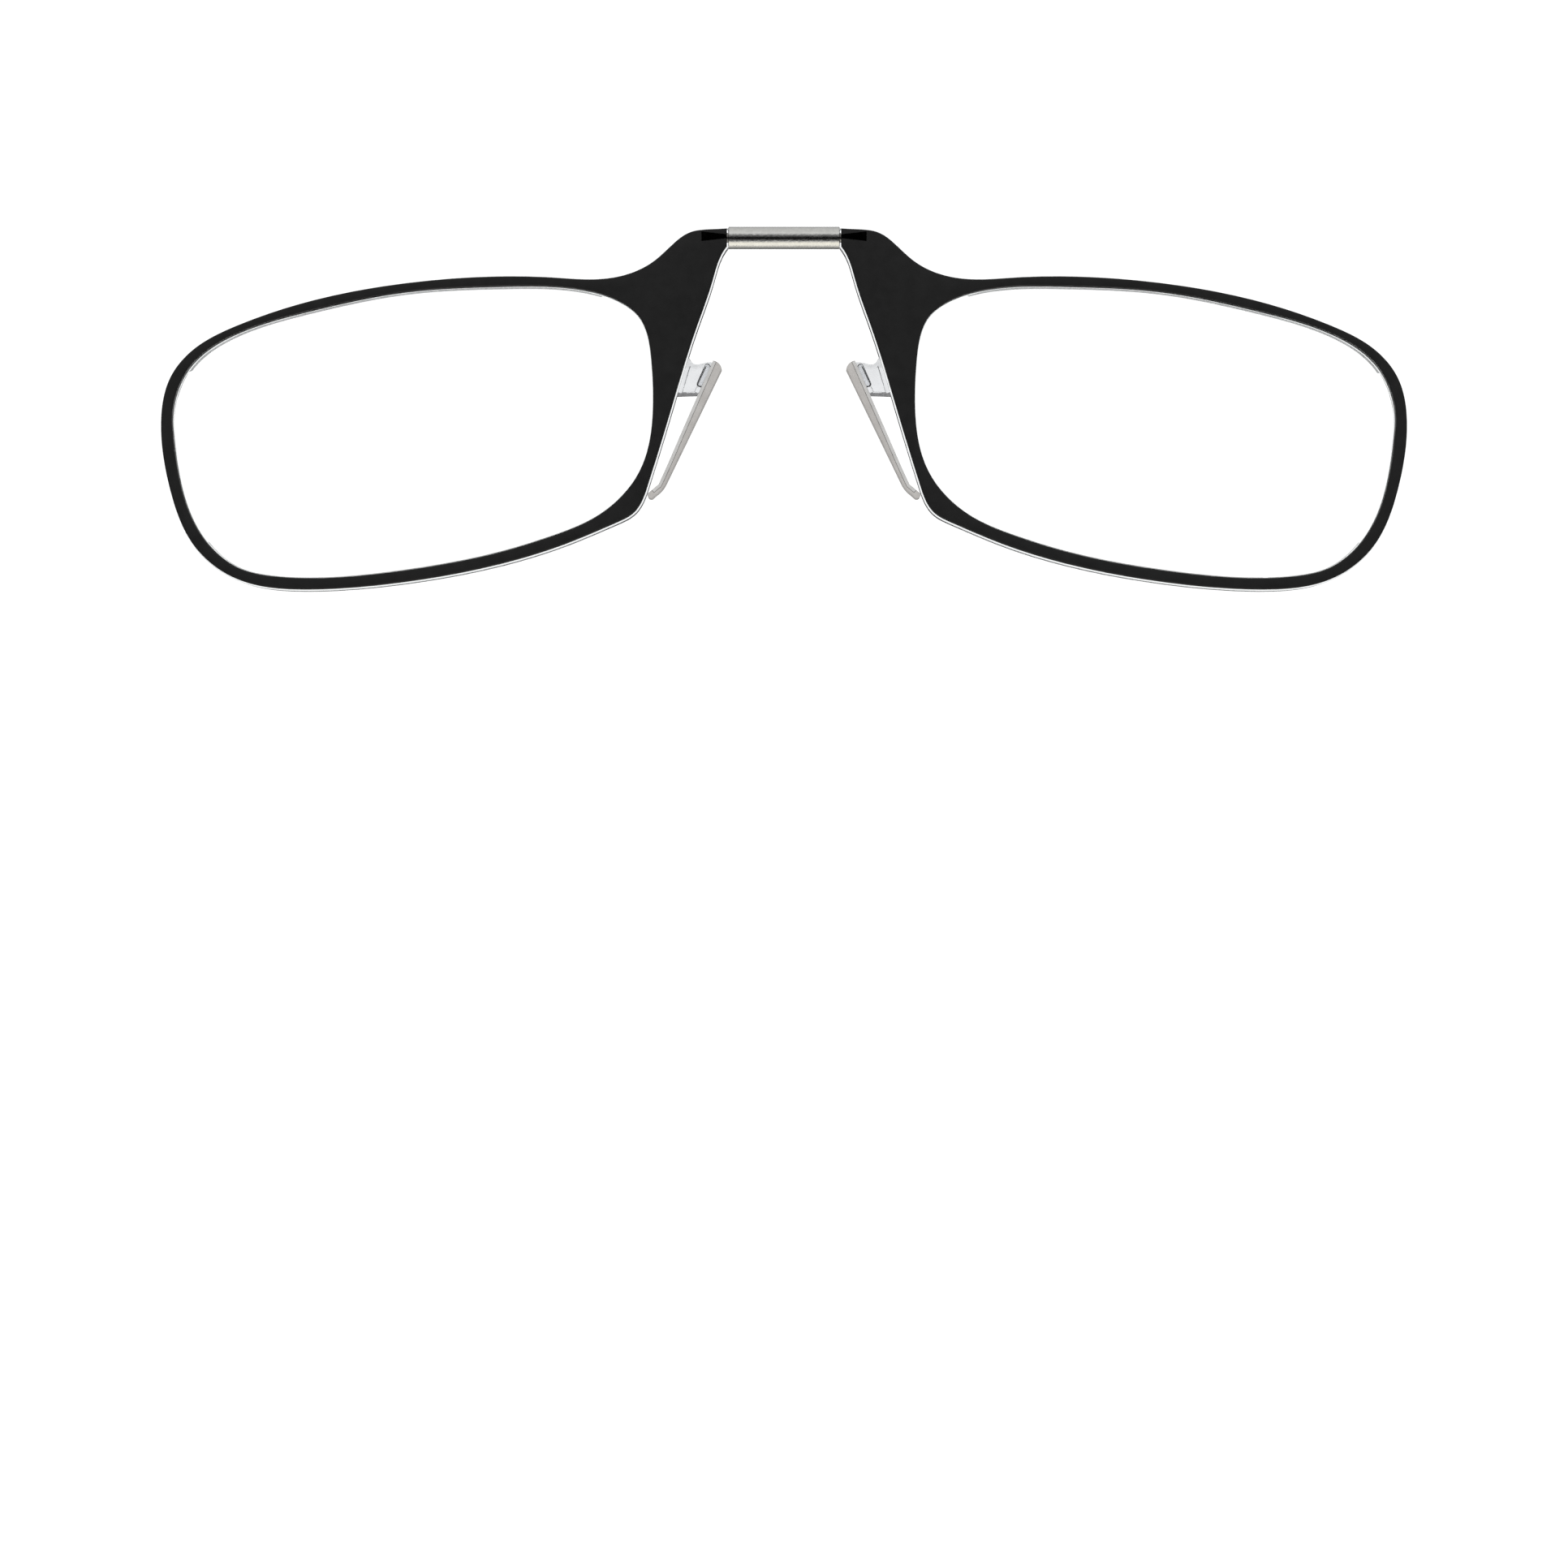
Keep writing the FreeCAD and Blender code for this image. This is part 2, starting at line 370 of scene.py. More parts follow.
def round_bar(mesh, origin, axis, profile, segments=40, closed=False):
    """Adds a solid turned about a line: the profile has (distance, radius) pairs, or radii by angle."""
    axis = Vector(axis).normalized()
    side = axis.orthogonal().normalized()
    other = axis.cross(side)
    rings = []
    for distance, radius in profile:
        ring = []
        for k in range(segments):
            angle = 2 * math.pi * k / segments
            reach = radius(angle) if callable(radius) else radius
            spoke = side * math.cos(angle) + other * math.sin(angle)
            ring.append(mesh.verts.new((Vector(origin) + axis * distance + spoke * reach) * MM))
        rings.append(ring)
    pairs = list(zip(rings, rings[1:]))
    if closed:
        pairs.append((rings[-1], rings[0]))
    for one, two in pairs:
        join_rings(mesh, one, two)
    if not closed:
        mesh.faces.new(rings[0][::-1])
        mesh.faces.new(rings[-1])


def finished(name, mesh, material, sharp_degrees=SHARP_DEGREES):
    """Object from a bmesh: smooth faces with crisp edges where they turn sharply."""
    bmesh.ops.recalc_face_normals(mesh, faces=mesh.faces)
    data = bpy.data.meshes.new(name)
    mesh.to_mesh(data)
    mesh.free()
    for each in material if isinstance(material, list) else [material]:
        data.materials.append(each)
    data.shade_smooth()
    data.set_sharp_from_angle(angle=math.radians(sharp_degrees))
    piece = bpy.data.objects.new(name, data)
    bpy.context.scene.collection.objects.link(piece)
    return piece


def carve(piece, cutter):
    """Cuts one mesh out of another for good, and deletes the cutter."""
    modifier = piece.modifiers.new("carve", "BOOLEAN")
    modifier.operation = "DIFFERENCE"
    modifier.solver = "EXACT"
    modifier.object = cutter
    bpy.context.view_layer.update()
    graph = bpy.context.evaluated_depsgraph_get()
    result = bpy.data.meshes.new_from_object(piece.evaluated_get(graph))
    piece.modifiers.clear()
    piece.data = result
    bpy.data.objects.remove(cutter)


# ---------------------------------------------------------------- materials


def ramp_node(nodes, links, value, stops):
    """Colours by value. Each stop goes in at its own place, because a ramp re-sorts itself when a
    stop is moved."""
    node = nodes.new("ShaderNodeValToRGB")
    elements = node.color_ramp.elements
    elements.remove(elements[1])
    elements[0].position = stops[0][0]
    elements[0].color = (*stops[0][1], 1)
    for position, colour in stops[1:]:
        elements.new(position).color = (*colour, 1)
    links.new(value, node.inputs["Fac"])
    return node.outputs["Color"]


def range_node(nodes, links, value, low, high, to_low=0.0, to_high=1.0):
    """The value, moved from one range of numbers to another and kept within it."""
    node = nodes.new("ShaderNodeMapRange")
    node.inputs["From Min"].default_value = low
    node.inputs["From Max"].default_value = high
    node.inputs["To Min"].default_value = to_low
    node.inputs["To Max"].default_value = to_high
    links.new(value, node.inputs["Value"])
    return node.outputs["Result"]


class Shader:
    """A Principled material with helpers for the procedural detail that feeds it."""

    def __init__(self, name, **constants):
        self.material = bpy.data.materials.new(name)
        self.material.use_nodes = True
        self.nodes = self.material.node_tree.nodes
        self.links = self.material.node_tree.links
        self.main = self.nodes["Principled BSDF"]
        for socket, value in constants.items():
            self.main.inputs[socket.replace("_", " ")].default_value = value

    def place(self, scale=(1, 1, 1)):
        coordinates = self.nodes.new("ShaderNodeTexCoord")
        mapping = self.nodes.new("ShaderNodeMapping")
        mapping.inputs["Scale"].default_value = scale
        self.links.new(coordinates.outputs["Object"], mapping.inputs["Vector"])
        return mapping.outputs["Vector"]

    def noise(self, per_metre, detail=3, stretch=(1, 1, 1)):
        node = self.nodes.new("ShaderNodeTexNoise")
        node.inputs["Scale"].default_value = per_metre
        node.inputs["Detail"].default_value = detail
        self.links.new(self.place(stretch), node.inputs["Vector"])
        return node.outputs["Fac"]

    def spread(self, value, low, high, start=0.3, end=0.7):
        return range_node(self.nodes, self.links, value, start, end, low, high)

    def colours(self, value, stops):
        colour = ramp_node(self.nodes, self.links, value, stops)
        self.links.new(colour, self.main.inputs["Base Color"])

    def roughness(self, value):
        self.links.new(value, self.main.inputs["Roughness"])

    def bump(self, value, depth_mm, strength=1.0):
        node = self.nodes.new("ShaderNodeBump")
        node.inputs["Strength"].default_value = strength
        node.inputs["Distance"].default_value = depth_mm * MM
        self.links.new(value, node.inputs["Height"])
        previous = self.main.inputs["Normal"].links
        if previous:
            self.links.new(previous[0].from_socket, node.inputs["Normal"])
        self.links.new(node.outputs["Normal"], self.main.inputs["Normal"])


def satin_black():
    """Moulded black plastic with a fine satin grain, faint flow marks and a few rubbed spots."""
    shader = Shader("satin_black", Specular_IOR_Level=0.3, IOR=1.5)
    shader.colours(shader.noise(900, 4), [(0.3, (0.0088, 0.0088, 0.0089)), (0.7, (0.0112, 0.0112, 0.0113))])
    shader.roughness(shader.spread(shader.noise(350, 5), 0.4, 0.56))
    shader.bump(shader.noise(9000, 2), 0.004)
    shader.bump(shader.noise(1100, 3, (1, 1, 3)), 0.006, 0.5)
    return shader.material


def shaded_resin_black():
    """Poured black resin, glossier than the plastic round it, with a far darker colour and a very weak
    reflection that are painted shade of the pocket it sits in.
    """
    shader = Shader("shaded_resin_black", Specular_IOR_Level=0.03, IOR=1.5)
    shader.colours(shader.noise(1500, 3), [(0.3, (0.0001, 0.0001, 0.0001)), (0.7, (0.0003, 0.0003, 0.0003))])
    shader.roughness(shader.spread(shader.noise(2500, 3), 0.2, 0.34))
    shader.bump(shader.noise(1800, 3), 0.01, 0.6)
    return shader.material


def clear_plastic():
    """Clear polycarbonate with a polished face and faint moulding haze."""
    shader = Shader("clear_plastic", IOR=1.58, Transmission_Weight=1.0)
    shader.colours(shader.noise(500, 3), [(0.3, (0.93, 0.95, 0.95)), (0.7, (0.98, 0.99, 0.99))])
    shader.roughness(shader.spread(shader.noise(1600, 4), 0.02, 0.1))
    shader.bump(shader.noise(1300, 2), 0.004, 0.5)
    return shader.material


def lens_plastic():
    """Optical polycarbonate: water clear, with a trace of smudging in its gloss."""
    shader = Shader("lens_plastic", IOR=1.585, Transmission_Weight=1.0)
    shader.colours(shader.noise(120, 2), [(0.3, (0.985, 0.995, 0.99)), (0.7, (1.0, 1.0, 1.0))])
    shader.roughness(shader.spread(shader.noise(180, 5), 0.0, 0.025))
    return shader.material


def silicone():
    """Soft silicone, warm grey, with a dusty satin skin and a faint moulding streak along it."""
    shader = Shader("silicone", Specular_IOR_Level=0.3, IOR=1.41)
    shader.colours(shader.noise(900, 3), [(0.3, (0.375, 0.36, 0.345)), (0.7, (0.425, 0.41, 0.395))])
    shader.roughness(shader.spread(shader.noise(2200, 4), 0.42, 0.6))
    shader.bump(shader.noise(5000, 2), 0.003)
    shader.bump(shader.noise(1200, 2, (3, 3, 0.4)), 0.006, 0.6)
    return shader.material


def lit_blade_plastic():
    """Core of the pad: plastic in a grey paler than the silicone, as painted light along the lit edge of the
    pad.
    """
    shader = Shader("lit_blade_plastic", Specular_IOR_Level=0.5, IOR=1.5)
    shader.colours(shader.noise(900, 3), [(0.3, (0.44, 0.435, 0.425)), (0.7, (0.5, 0.495, 0.485))])
    shader.roughness(shader.spread(shader.noise(2000, 4), 0.2, 0.36))
    shader.bump(shader.noise(2500, 2), 0.004, 0.6)
    return shader.material


def arm_plastic():
    """Clear polycarbonate of the pad arm, tinted greyer than the frame."""
    shader = Shader("arm_plastic", IOR=1.58, Transmission_Weight=1.0)
    shader.colours(shader.noise(900, 3), [(0.3, (0.73, 0.74, 0.755)), (0.7, (0.8, 0.81, 0.825))])
    shader.roughness(shader.spread(shader.noise(2600, 4), 0.04, 0.14))
    shader.bump(shader.noise(2200, 3), 0.01, 0.7)
    return shader.material


def shaded_edge_plastic(name, dark, light):
    """Edge of clear plastic, less polished than its faces, and tinted grey as painted shade; one copy is
    paler, one darker.
    """
    shader = Shader(name, IOR=1.5, Transmission_Weight=1.0)
    shader.colours(shader.noise(3200, 4), [(0.35, dark), (0.65, light)])
    shader.roughness(shader.spread(shader.noise(2600, 3), 0.1, 0.3))
    shader.bump(shader.noise(4200, 3), 0.012, 0.8)
    return shader.material


def polished_sleeve():
    """Polished plated coil with fine handling marks and a faint change of tone."""
    shader = Shader("polished_sleeve", Metallic=1.0)
    shader.colours(shader.noise(2600, 5), [(0.3, (0.86, 0.86, 0.84)), (0.7, (0.98, 0.98, 0.96))])
    shader.roughness(shader.spread(shader.noise(3000, 4, (1, 3, 3)), 0.06, 0.15))
    shader.bump(shader.noise(3600, 3, (1.2, 1, 1)), 0.02, 1.0)
    return shader.material


def drawn_wire():
    """Drawn superelastic wire, grey, with lengthwise die lines."""
    shader = Shader("drawn_wire", Metallic=1.0)
    shader.colours(shader.noise(1200, 3), [(0.3, (0.36, 0.35, 0.34)), (0.7, (0.5, 0.49, 0.48))])
    shader.roughness(shader.spread(shader.noise(4000, 3, (0.05, 1, 1)), 0.25, 0.45))
    shader.bump(shader.noise(9000, 2, (0.03, 1, 1)), 0.006)
    return shader.material


def crimp_steel():
    """Satin stainless steel, tumbled, with a random change of tone."""
    shader = Shader("crimp_steel", Metallic=1.0)
    shader.colours(shader.noise(2000, 4), [(0.3, (0.42, 0.42, 0.42)), (0.7, (0.62, 0.62, 0.61))])
    shader.roughness(shader.spread(shader.noise(5000, 3), 0.25, 0.5))
    shader.bump(shader.noise(6000, 3), 0.01, 0.7)
    return shader.material


def studio_floor():
    shader = Shader("studio_floor", Roughness=0.9)
    shader.colours(shader.noise(4, 2), [(0.3, (0.94, 0.94, 0.94)), (0.7, (0.96, 0.96, 0.96))])
    return shader.material


BLACK = satin_black()
SHADED_RESIN = shaded_resin_black()
CLEAR = clear_plastic()
LENS = lens_plastic()
SILICONE = silicone()
LIT_BLADE = lit_blade_plastic()
ARM = arm_plastic()
# Paler and darker painted shade for the edges of clear pieces
PALE_SHADED_EDGE = shaded_edge_plastic("pale_shaded_edge", (0.6, 0.61, 0.62), (0.7, 0.71, 0.72))
DARK_SHADED_EDGE = shaded_edge_plastic("dark_shaded_edge", (0.16, 0.16, 0.165), (0.26, 0.26, 0.265))
SLEEVE = polished_sleeve()
WIRE = drawn_wire()
STEEL = crimp_steel()


# ---------------------------------------------------------------- one front


def frame_loops(side):
    """Outline and lens opening of a lens frame, cut near its back face."""
    back = box(f"{side}_lens_frame")[1][1]
    outline, opening = section(f"{side}_lens_frame", back - 0.2)[:2]
    return turned(resampled(outline), True), turned(resampled(opening), False)


def proud_of_facing(side):
    """How far the lens frame stands out round the facing."""
    reach = [max(abs(box(f"{side}_{node}")[k][0]) for k in (0, 1)) for node in ("lens_frame", "front_rim")]
    return reach[0] - reach[1]


def make_facing(side):
    outline, opening = frame_loops(side)
    low, high = box(f"{side}_front_rim")
    profile = wall(low[1], high[1] - HAIRLINE, FACING_ROUND, 0.03)
    outer = [(depth, distance + proud_of_facing(side)) for depth, distance in profile]
    mesh = bmesh.new()
    solid(mesh, [(outline, outer), (opening, profile)])
    facing = finished(f"{side}_facing", mesh, BLACK)
    carve(facing, plug_cutter(side))
    carve(facing, crimp_cutter(side))
    facing.data.set_sharp_from_angle(angle=math.radians(SHARP_DEGREES))
    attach(facing, f"{side}_front")
    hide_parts(f"{side}_front_rim")


def plug_loop(side):
    low, high = box(f"{side}_crimp_plug")
    return turned(resampled(section(f"{side}_crimp_plug", (low[1] + high[1]) / 2)[0], 0.3), True)


def plug_cutter(side):
    low, high = box(f"{side}_crimp_plug")
    loop = inset(plug_loop(side), -PLUG_CLEARANCE)
    mesh = bmesh.new()
    solid(mesh, [(loop, [(low[1] - 0.3, 0), (high[1], 0)])])
    return finished("plug_cutter", mesh, BLACK)


def crimp_cutter(side):
    low, high = box(f"{side}_wire_crimp")
    loop = np.array([(low[0], low[2]), (high[0], low[2]), (high[0], high[2]), (low[0], high[2])])
    mesh = bmesh.new()
    solid(mesh, [(inset(loop, -CRIMP_CLEARANCE), [(low[1] - CRIMP_CLEARANCE, 0), (high[1], 0)])])
    return finished("crimp_cutter", mesh, BLACK)


def make_plug(side):
    """Fishtail plug, set a hair below the facing."""
    low, high = box(f"{side}_crimp_plug")
    mesh = bmesh.new()
    solid(mesh, [(plug_loop(side), wall(low[1] + PLUG_SINK, high[1] - HAIRLINE, 0.03, 0.02))])
    # The plug's material carries the painted shade of its pocket
    plug = finished(f"{side}_plug", mesh, SHADED_RESIN)
    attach(plug, f"{side}_front")
    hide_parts(f"{side}_crimp_plug")


def make_lens_frame(side):
    """Clear frame with rounded back edges, a stepped seat for the lens's flange, and a small lip."""
    outline, opening = frame_loops(side)
    low, high = box(f"{side}_lens_frame")
    step = box(f"{side}_lens")[1][1]
    seat = LENS_FLANGE + LENS_GAP
    outside = wall(low[1], high[1], 0.05, FRAME_ROUND)
    inner = [(low[1], seat), (step - 0.04, seat), (step, seat - 0.04), (step, 0.03), (step + 0.03, 0)]
    lip_start = len(inner)
    inner += [(high[1] - 0.22, 0), (high[1] - 0.12, -LENS_LIP)]
    inner += [(high[1] - 0.04, -LENS_LIP), (high[1], 0.04 - LENS_LIP)]
    mesh = bmesh.new()
    # The outer wall takes the paler painted shade and the lip the darker one
    solid(mesh, [(outline, outside, [0]), (opening, inner, [lip_start, lip_start])])
    body = finished(f"{side}_clear_frame", mesh, [CLEAR, PALE_SHADED_EDGE, DARK_SHADED_EDGE])
    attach(body, f"{side}_front")
    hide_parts(f"{side}_lens_frame")


def make_lens(side):
    """Lens with a domed front face that fills the opening, and a thin flange round it."""
    opening = turned(frame_loops(side)[1], True)
    low, high = box(f"{side}_lens")
    centre = (low + high) / 2
    front = box(f"{side}_lens_frame")[0][1] + HAIRLINE
    back = high[1] - HAIRLINE

    def dome(x, z):
        away = math.hypot(x - centre[0], z - centre[2])
        return min(low[1] + LENS_RADIUS - math.sqrt(LENS_RADIUS**2 - away**2), front - 0.04)

    flange = [(front, -LENS_FLANGE + 0.03), (front + 0.03, -LENS_FLANGE)]
    flange += [(back - 0.05, -LENS_FLANGE), (back, -LENS_FLANGE + 0.05)]
    profile = [(None, LENS_GAP + 0.03), (front - 0.02, LENS_GAP), (front, LENS_GAP)] + flange
    mesh = bmesh.new()
    solid(mesh, [(opening, profile)], dome, grid_points(opening, 1.1, 0.6))
    lens = finished(f"{side}_lens_blank", mesh, LENS)
    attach(lens, f"{side}_front")
    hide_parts(f"{side}_lens")


def make_crimp(side):
    """Crimp with softened corners, and two bands pinched on to the wire."""
    low, high = box(f"{side}_wire_crimp")
    centre, half = (low + high) / 2, (high - low) / 2
    mesh = bmesh.new()
    rings = []
    for u in np.linspace(-1, 1, 41):
        end = 0.94 if abs(u) > 0.97 else 1.0
        pinch = sum(math.exp(-(((u - p) / PINCH_WIDTH) ** 2)) for p in PINCH_PLACES)
        size = end * (1 - PINCH_DEPTH * pinch)
        ring = []
        for angle in np.linspace(0, 2 * math.pi, 33)[:-1]:
            c, s = math.cos(angle), math.sin(angle)
            y = math.copysign(abs(c) ** CRIMP_SQUARENESS, c) * half[1] * size
            z = math.copysign(abs(s) ** CRIMP_SQUARENESS, s) * half[2] * size
            place = Vector((centre[0] + u * half[0], centre[1] + y, centre[2] + z))
            ring.append(mesh.verts.new(place * MM))
        rings.append(ring)
    for one, two in zip(rings, rings[1:]):
        join_rings(mesh, one, two)
    mesh.faces.new(rings[0][::-1])
    mesh.faces.new(rings[-1])
    crimp = finished(f"{side}_crimp", mesh, STEEL)
    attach(crimp, f"{side}_front")
    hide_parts(f"{side}_wire_crimp")


# ---------------------------------------------------------------- nose pads


def make_pad_arm(side):
    """Clear web with a thinner window, and a knuckle where it meets the blade."""
    low, high = box(f"{side}_pad_arm")
    middle = joint_point(f"{side}_pad_flex")[1]
    thick_low, thick_high = middle - ARM_HALF_DEPTH, middle + ARM_HALF_DEPTH
    loop = turned(resampled(section(f"{side}_pad_arm", thick_low + 0.03)[0], 0.08), True)
    window = ARM_WINDOW
    front = [(thick_low + 0.13, window + 0.06), (thick_low + 0.02, window), (thick_low, window - 0.05)]
    back = [(thick_high, window - 0.05), (thick_high - 0.02, window), (thick_high - 0.1, window + 0.06)]
    mesh = bmesh.new()
    solid(mesh, [(loop, front + wall(thick_low, thick_high, 0.06, 0.06) + back)])
    # Edge faces along the bottom take the darker painted shade, and those along the top the paler one
    for face in mesh.faces:
        centre = face.calc_center_median() / MM
        within = min(np.linalg.norm(loop - (centre.x, centre.z), axis=1))
        if within < window and centre.z < low[2] + window:
            face.material_index = DARK_EDGE_SLOT
        elif within < window * 0.7 and centre.z > ARM_TOP_HEIGHT:
            face.material_index = EDGE_SLOT
    add_knuckle(mesh, side)
    arm = finished(f"{side}_arm_web", mesh, [ARM, PALE_SHADED_EDGE, DARK_SHADED_EDGE])
    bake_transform(arm)
    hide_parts(f"{side}_pad_arm")


def bar_direction(side):
    """Along the pad's straight bar, up towards its head."""
    return -Vector(JOINTS[f"{side}_pad_flex"]["axis"]).normalized()


def add_knuckle(mesh, side):
    """Adds the round bar that joins the web to the blade."""
    low, high = box(f"{side}_pad_blade")
    along = bar_direction(side)
    outward = Vector((SIDES[side] * abs(along.z), 0, abs(along.x)))
    head_x = low[0] if side == "left" else high[0]
    pivot_y = joint_point(f"{side}_pad_flex")[1]
    radius, length = KNUCKLE_RADIUS, KNUCKLE_LENGTH
    top = Vector((head_x, pivot_y, high[2])) - along * 0.45 + outward * (radius * 0.9 + 0.32)
    profile = [(0, 0.1), (0.06, 0.2), (0.16, 0.27), (0.3, radius)]
    profile += [(length - d, r) for d, r in profile[::-1]]
    round_bar(mesh, top - along * length, along, profile, 28)


def edge_strip(side, node, name, material, soft, gap):
    """A strip of even section from front to back, with softened edges, a small gap inside its node."""
    low, high = box(f"{side}_{node}")
    loop = turned(resampled(section(f"{side}_{node}", (low[1] + high[1]) / 2)[0], 0.1), True)
    profile = [(depth, distance + gap) for depth, distance in wall(low[1], high[1], soft, soft)]
    mesh = bmesh.new()
    solid(mesh, [(loop, profile)])
    piece = finished(f"{side}_{name}", mesh, material, 50)
    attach(piece, f"{side}_pad")
    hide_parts(f"{side}_{node}")
    return piece


def make_pad(side):
    # The blade's paler grey is painted light along the lit edge of the pad
    edge_strip(side, "pad_blade", "blade", LIT_BLADE, 0.05, HAIRLINE)
    edge_strip(side, "nose_pad", "silicone_pad", SILICONE, 0.1, 0.0)


# ---------------------------------------------------------------- bridge


def coil_rows(start, end, radius, plain_end):
    """Outside of the close-wound sleeve: a fine helical groove that fades out before its plain end."""
    rows = []
    steps = int(round((end - start) / COIL_PITCH * COIL_STEPS))
    for k in range(steps + 1):
        x = start + (end - start) * k / steps
        calm = min(1.0, max(0.0, (plain_end - 0.3 - x) / 0.1))

        def reach(angle, x=x, calm=calm):
            wave = abs(math.cos(math.pi * x / COIL_PITCH + angle / 2))
            return radius - COIL_GROOVE * calm * wave**10

        rows.append((x, reach))
    return rows


def core_radius():
    low, high = box("bridge_core")
    return (high[2] - low[2]) / 2


def make_sleeve_length(name, origin, direction, start, end, last):
    """One length of the tube. The last one ends in a rounded collar."""
    low, high = box("bridge_sleeve")
    radius = (high[2] - low[2]) / 2
    bore = core_radius() + BORE_CLEARANCE
    outside = coil_rows(start, end, radius, high[0])
    if last:
        outside[-1] = (end - 0.06, radius)
        outside += [(end - 0.02, radius - 0.03), (end, radius - 0.09)]
    inside_rows = [(x, bore) for x in np.linspace(end, start, 24)]
    mesh = bmesh.new()
    round_bar(mesh, origin, direction, outside + inside_rows, 48, closed=True)
    return finished(name, mesh, SLEEVE, 60)


def make_core_length(name, origin, direction, start, end):
    rows = [(x, core_radius()) for x in np.linspace(start, end, 30)]
    mesh = bmesh.new()
    round_bar(mesh, origin, direction, rows, 24)
    return finished(name, mesh, WIRE, 60)


def make_bridge():
    """The tube and its core in two lengths a side."""
    low, high = box("bridge_sleeve")
    core_end = box("bridge_core")[1][0]
    sleeve_end = high[0] - HAIRLINE
    axis_z = (low[2] + high[2]) / 2
    origin = (0, 0, axis_z)
    for side, sign in SIDES.items():
        direction = (sign, 0, 0)
        middle, wire_end, front = "bridge", f"{side}_wire_end", f"{side}_front"
        half_way = 2 * abs(joint_point(f"{side}_fold")[0])
        bend_end = 2 * abs(joint_point(f"{side}_spread")[0]) - half_way
        spans = [
            ("inner", 0.0, half_way, half_way, middle, wire_end, half_way),
            ("outer", half_way, sleeve_end, core_end, wire_end, front, bend_end),
        ]
        for part, start, tube_end, wire_tip, body_a, body_b, blend_end in spans:
            last = part == "outer"
            tube = make_sleeve_length(f"{side}_sleeve_{part}", origin, direction, start, tube_end, last)
            wire = make_core_length(f"{side}_core_{part}", origin, direction, start, wire_tip)
            made = ((tube, "bridge_sleeve", "bridge_metal"), (wire, "bridge_core", "core_metal"))
            for piece, node, slot in made:
                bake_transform(piece)
                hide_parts(node)


# ---------------------------------------------------------------- studio


def make_floor():
    half = FLOOR_HALF_METRES
    z = -FLOOR_DROP * MM
    mesh = bmesh.new()
    corners = ((-half, -half, z), (half, -half, z), (half, half, z), (-half, half, z))
    mesh.faces.new([mesh.verts.new(corner) for corner in corners])
    floor = finished("floor", mesh, studio_floor())
    floor.visible_glossy = False


# Studio that reflections see: (height of the direction from -1 to 1, colour)
STUDIO_FRONT = [
    (-1.0, (0.88, 0.86, 0.78)), (-0.94, (0.96, 0.93, 0.82)), (-0.87, (0.86, 0.83, 0.75)),
    (-0.78, (0.6, 0.58, 0.55)), (-0.68, (0.34, 0.34, 0.33)), (-0.56, (0.15, 0.15, 0.15)),
    (-0.43, (0.05, 0.05, 0.05)), (-0.32, (0.006, 0.006, 0.006)), (-0.05, (0.006, 0.006, 0.006)),
    (0.06, (0.035, 0.035, 0.036)), (0.19, (0.075, 0.075, 0.076)), (0.3, (0.14, 0.14, 0.14)),
    (0.43, (0.26, 0.26, 0.26)), (0.56, (0.47, 0.47, 0.47)), (0.68, (0.62, 0.62, 0.61)),
    (0.8, (0.58, 0.58, 0.57)), (1.0, (0.52, 0.52, 0.51)),
]
STUDIO_BACK = [
    (-1.0, (0.82, 0.8, 0.74)), (-0.98, (0.66, 0.64, 0.6)), (-0.91, (0.42, 0.41, 0.39)),
    (-0.77, (0.24, 0.24, 0.23)), (-0.2, (0.03, 0.03, 0.03)), (0.2, (0.03, 0.03, 0.03)),
    (0.45, (0.25, 0.25, 0.25)), (0.8, (0.42, 0.42, 0.42)), (1.0, (0.52, 0.52, 0.51)),
]


def studio_ramp(nodes, links, height, stops):
    """Colours by the height of the direction looked in, given from 0 to 1."""
    return ramp_node(nodes, links, height, [((level + 1) / 2, colour) for level, colour in stops])


def colour_mix(nodes, links, factor, first, second):
    mix = nodes.new("ShaderNodeMix")
    mix.data_type = "RGBA"
    links.new(factor, mix.inputs["Factor"])
    sockets = [socket for socket in mix.inputs if socket.type == "RGBA"]
    for socket, value in zip(sockets, (first, second)):
        if isinstance(value, tuple):
            socket.default_value = value
        else:
            links.new(value, socket)
    return [socket for socket in mix.outputs if socket.type == "RGBA"][0]


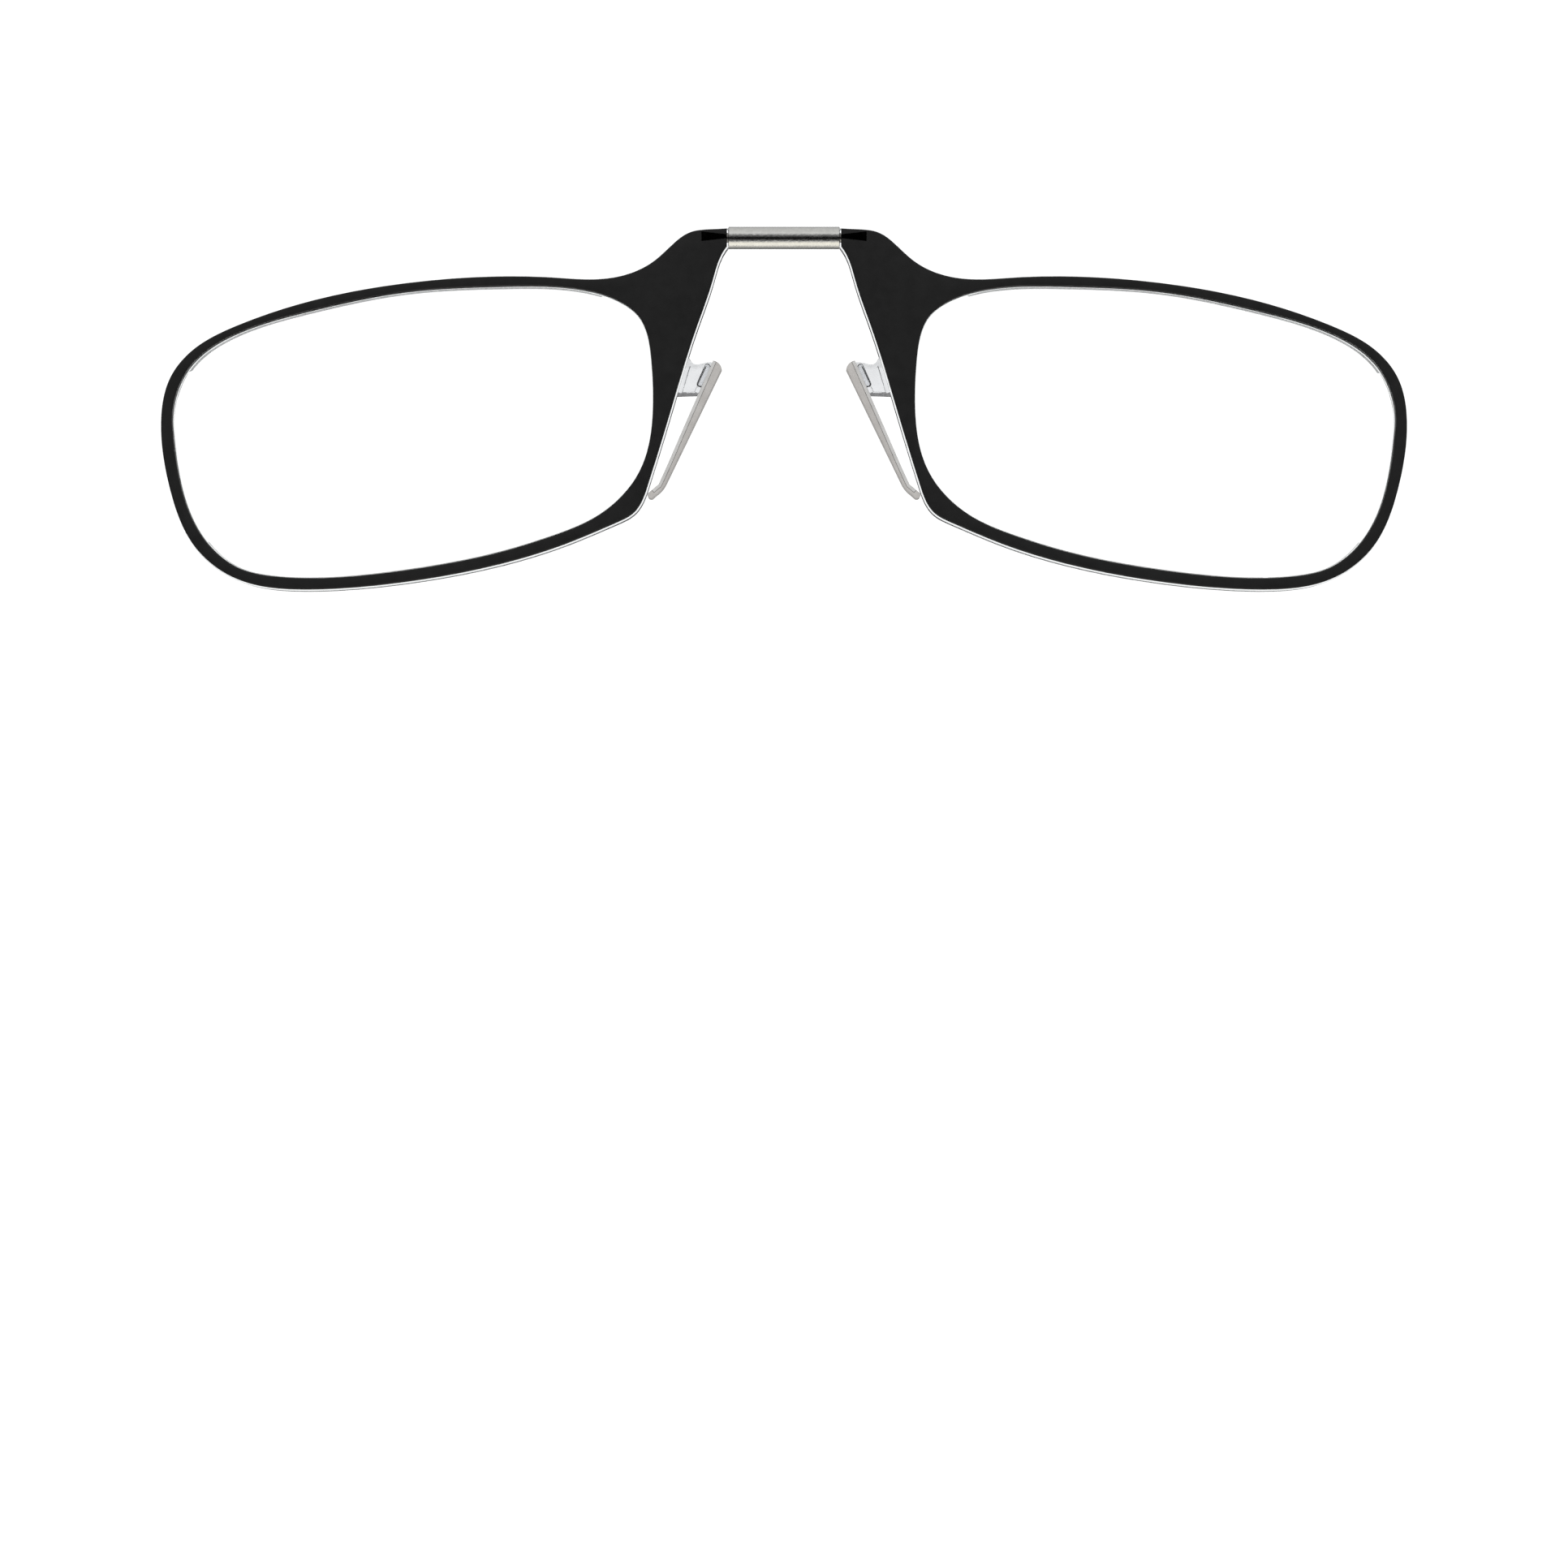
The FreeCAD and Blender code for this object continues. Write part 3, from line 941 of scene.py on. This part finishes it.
def make_world():
    """White all round. Reflections see a studio, grey above, dark at camera height and cream below.
    Rays that pass through a clear piece see the white."""
    world = bpy.data.worlds.new("studio")
    bpy.context.scene.world = world
    world.use_nodes = True
    nodes, links = world.node_tree.nodes, world.node_tree.links
    coordinates = nodes.new("ShaderNodeTexCoord")
    parts = nodes.new("ShaderNodeSeparateXYZ")
    links.new(coordinates.outputs["Generated"], parts.inputs["Vector"])
    height = range_node(nodes, links, parts.outputs["Z"], -1, 1)
    behind = range_node(nodes, links, parts.outputs["Y"], -0.02, 0.12)
    front = studio_ramp(nodes, links, height, STUDIO_FRONT)
    back = studio_ramp(nodes, links, height, STUDIO_BACK)
    studio = colour_mix(nodes, links, behind, front, back)
    path = nodes.new("ShaderNodeLightPath")
    reflected = nodes.new("ShaderNodeMath")
    reflected.operation = "SUBTRACT"
    reflected.use_clamp = True
    links.new(path.outputs["Is Glossy Ray"], reflected.inputs[0])
    links.new(path.outputs["Is Transmission Ray"], reflected.inputs[1])
    white = (AMBIENT, AMBIENT, AMBIENT, 1)
    colour = colour_mix(nodes, links, reflected.outputs["Value"], white, studio)
    links.new(colour, nodes["Background"].inputs["Color"])


def make_light():
    """One very soft light from above and a little to the front, even over the whole floor."""
    data = bpy.data.lights.new("soft_light", "SUN")
    data.energy = SUN_STRENGTH
    data.angle = math.radians(SUN_SPREAD_DEGREES)
    lamp = bpy.data.objects.new("soft_light", data)
    lamp.rotation_euler = (math.radians(SUN_TILT_DEGREES), 0, 0)
    lamp.visible_glossy = False
    bpy.context.scene.collection.objects.link(lamp)


def make_camera():
    front = box("left_front_rim")[0][1]
    data = bpy.data.cameras.new("camera")
    data.sensor_width = SENSOR
    data.lens = SENSOR * VIEW_DISTANCE / VIEW_WIDTH
    data.clip_start = 0.01
    camera = bpy.data.objects.new("camera", data)
    camera.location = (0, (front - VIEW_DISTANCE) * MM, VIEW_HEIGHT * MM)
    camera.rotation_euler = (math.pi / 2, 0, 0)
    bpy.context.scene.collection.objects.link(camera)
    bpy.context.scene.camera = camera


for side_name in SIDES:
    make_facing(side_name)
    make_plug(side_name)
    make_lens_frame(side_name)
    make_lens(side_name)
    make_crimp(side_name)
    make_pad_arm(side_name)
    make_pad(side_name)
make_bridge()
make_floor()
make_world()
make_light()
make_camera()
bpy.context.scene.view_settings.view_transform = "Standard"
